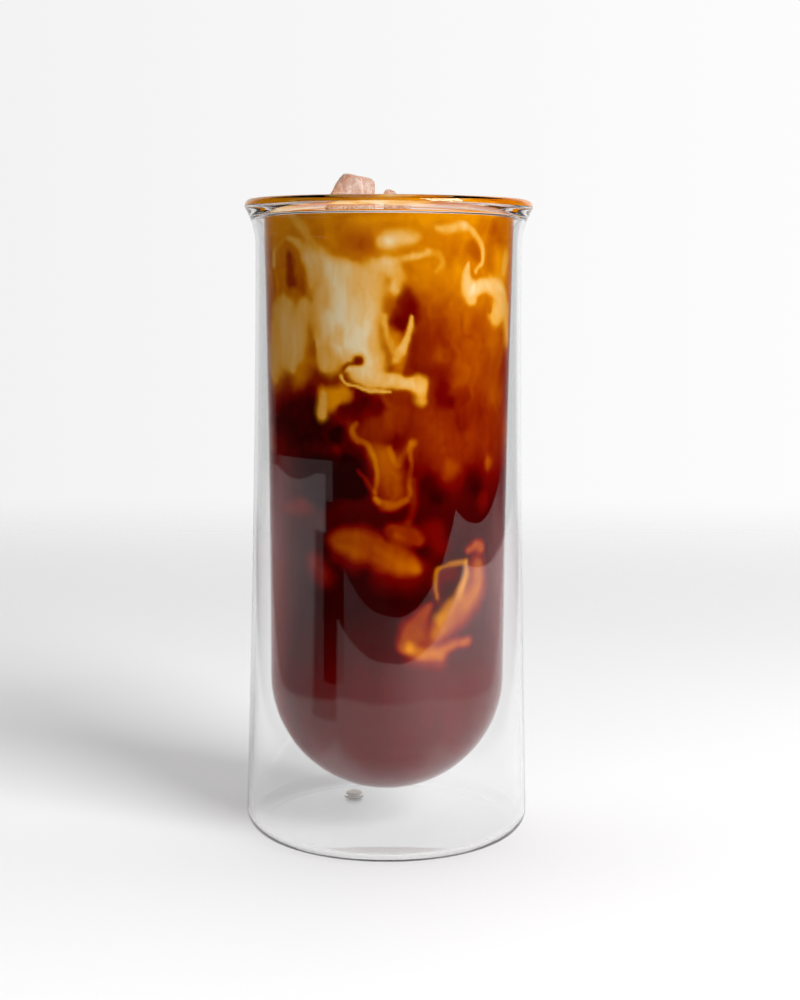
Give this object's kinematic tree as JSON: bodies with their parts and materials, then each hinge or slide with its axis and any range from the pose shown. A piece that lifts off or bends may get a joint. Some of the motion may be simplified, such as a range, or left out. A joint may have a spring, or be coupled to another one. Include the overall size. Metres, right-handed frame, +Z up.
{
  "type": "iced coffee",
  "caption": "Iced coffee with clouds of milk, filled to the lip of a tall double-walled glass with a round-bottomed inner tube, with ice standing out",
  "frame": {"origin": "centre of the base, on the surface the glass stands on", "axes": "+Z up the axis of the glass; -Y towards the viewer of the picture, +X to the viewer's right"},
  "size_m": [0.0724, 0.0724, 0.1671],
  "materials": {
    "clear_glass": "clear borosilicate glass, polished",
    "silicone": "off-white silicone, smooth and slightly matt",
    "iced_coffee": "amber to dark brown coffee with cream clouds of milk, liquid sheen",
    "ice": "ice with cloudy veins, tinted by coffee, wet sheen"
  },
  "bodies": {
    "root": {"glass": "clear_glass", "vent_plug": "silicone", "coffee": "iced_coffee", "ice_block": "ice", "ice_nub": "ice"}
  },
  "joints": []
}
